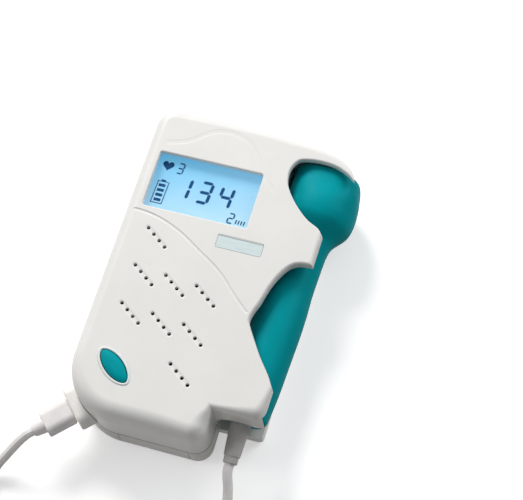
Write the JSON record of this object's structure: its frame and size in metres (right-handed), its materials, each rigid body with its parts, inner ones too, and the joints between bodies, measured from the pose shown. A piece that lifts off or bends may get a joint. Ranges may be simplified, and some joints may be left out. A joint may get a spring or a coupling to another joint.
{
  "type": "fetal doppler monitor",
  "caption": "Pocket fetal doppler monitor with backlit display, speaker panel and a gourd-shaped teal probe docked in the bay on its right side, joined by a coiled lead.",
  "frame": {"origin": "on the surface that the monitor's back rests on, under the middle of the casing with its docked probe, without the lead and its plug", "axes": "+X to the right side where the probe is docked, +Y to the end with the display, +Z out of the front face"},
  "size_m": [0.116, 0.2319, 0.0353],
  "materials": {
    "shell": "satin moulded warm white ABS",
    "teal_plastic": "smooth teal ABS",
    "button_lip": "pale smooth lip",
    "label": "bare pale plate",
    "clear_lens": "clear acrylic window",
    "display": "light blue backlit display with dark segments",
    "diffuser": "white light guide",
    "black_plastic": "black moulded plastic",
    "grey_rubber": "grey soft rubber",
    "collar": "cream moulded plastic",
    "lead": "pale grey jacket",
    "tie": "black woven tie",
    "board": "green solder mask",
    "steel": "zinc plated",
    "brass": "spring brass",
    "cell": "printed sleeve, bare",
    "ceramic": "sintered ceramic"
  },
  "bodies": {
    "monitor": {"front_shell": "shell", "rear_shell": "shell", "power_button_lip": "button_lip", "label_plate": "label", "display_lens": "clear_lens", "display_panel": "display", "display_backlight": "diffuser", "display_frame": "black_plastic", "power_switch": "black_plastic", "mode_switch": "black_plastic", "start_switch": "black_plastic", "charging_jack": "black_plastic", "headphone_jack": "black_plastic", "battery_holder": "black_plastic", "probe_socket": "black_plastic", "speaker_cone": "black_plastic", "power_button_pad": "grey_rubber", "plug_collar": "collar", "plug_overmould": "lead", "lead_probe_run": "lead", "lead_coil": "lead", "lead_plug_run": "lead", "coil_tie_far": "tie", "coil_tie_near": "tie", "main_board": "board", "casing_screw_1": "steel", "casing_screw_2": "steel", "casing_screw_3": "steel", "casing_screw_4": "steel", "speaker_frame": "steel", "speaker_magnet": "steel", "volume_potentiometer": "steel", "battery_contact_minus": "brass", "battery_contact_plus": "brass", "battery_cell_1": "cell", "battery_cell_2": "cell"},
    "power_button": {"power_button": "teal_plastic"},
    "mode_button": {"mode_button": "teal_plastic"},
    "start_button": {"start_button": "teal_plastic"},
    "volume_wheel": {"volume_wheel": "black_plastic"},
    "battery_door": {"battery_door": "shell"},
    "probe": {"probe_front_cover": "teal_plastic", "probe_rear_cover": "teal_plastic", "probe_lens": "teal_plastic", "transducer_disc": "ceramic", "backing_block": "black_plastic", "probe_board": "board", "probe_strain_relief": "grey_rubber"}
  },
  "joints": [
    {"name": "power_button_press", "type": "slide", "parent": "monitor", "child": "power_button", "axis": [0, 0, -1], "range_m": [0, 0.0008], "stiffness_N_per_m": 500},
    {"name": "mode_button_press", "type": "slide", "parent": "monitor", "child": "mode_button", "axis": [1, 0, 0], "range_m": [0, 0.0007], "stiffness_N_per_m": 500},
    {"name": "start_button_press", "type": "slide", "parent": "monitor", "child": "start_button", "axis": [1, 0, 0], "range_m": [0, 0.0007], "stiffness_N_per_m": 500},
    {"name": "volume_turn", "type": "hinge", "parent": "monitor", "child": "volume_wheel", "pos_m": [-0.03757, 0.03231, 0.0161], "axis": [0, 0, 1], "range_deg": [-135, 135]},
    {"name": "battery_door_slide", "type": "slide", "parent": "monitor", "child": "battery_door", "axis": [0, -1, 0], "range_m": [0, 0.02]},
    {"name": "probe_lift_out", "type": "slide", "parent": "monitor", "child": "probe", "axis": [1, 0, 0], "range_m": [0, 0.046]}
  ]
}
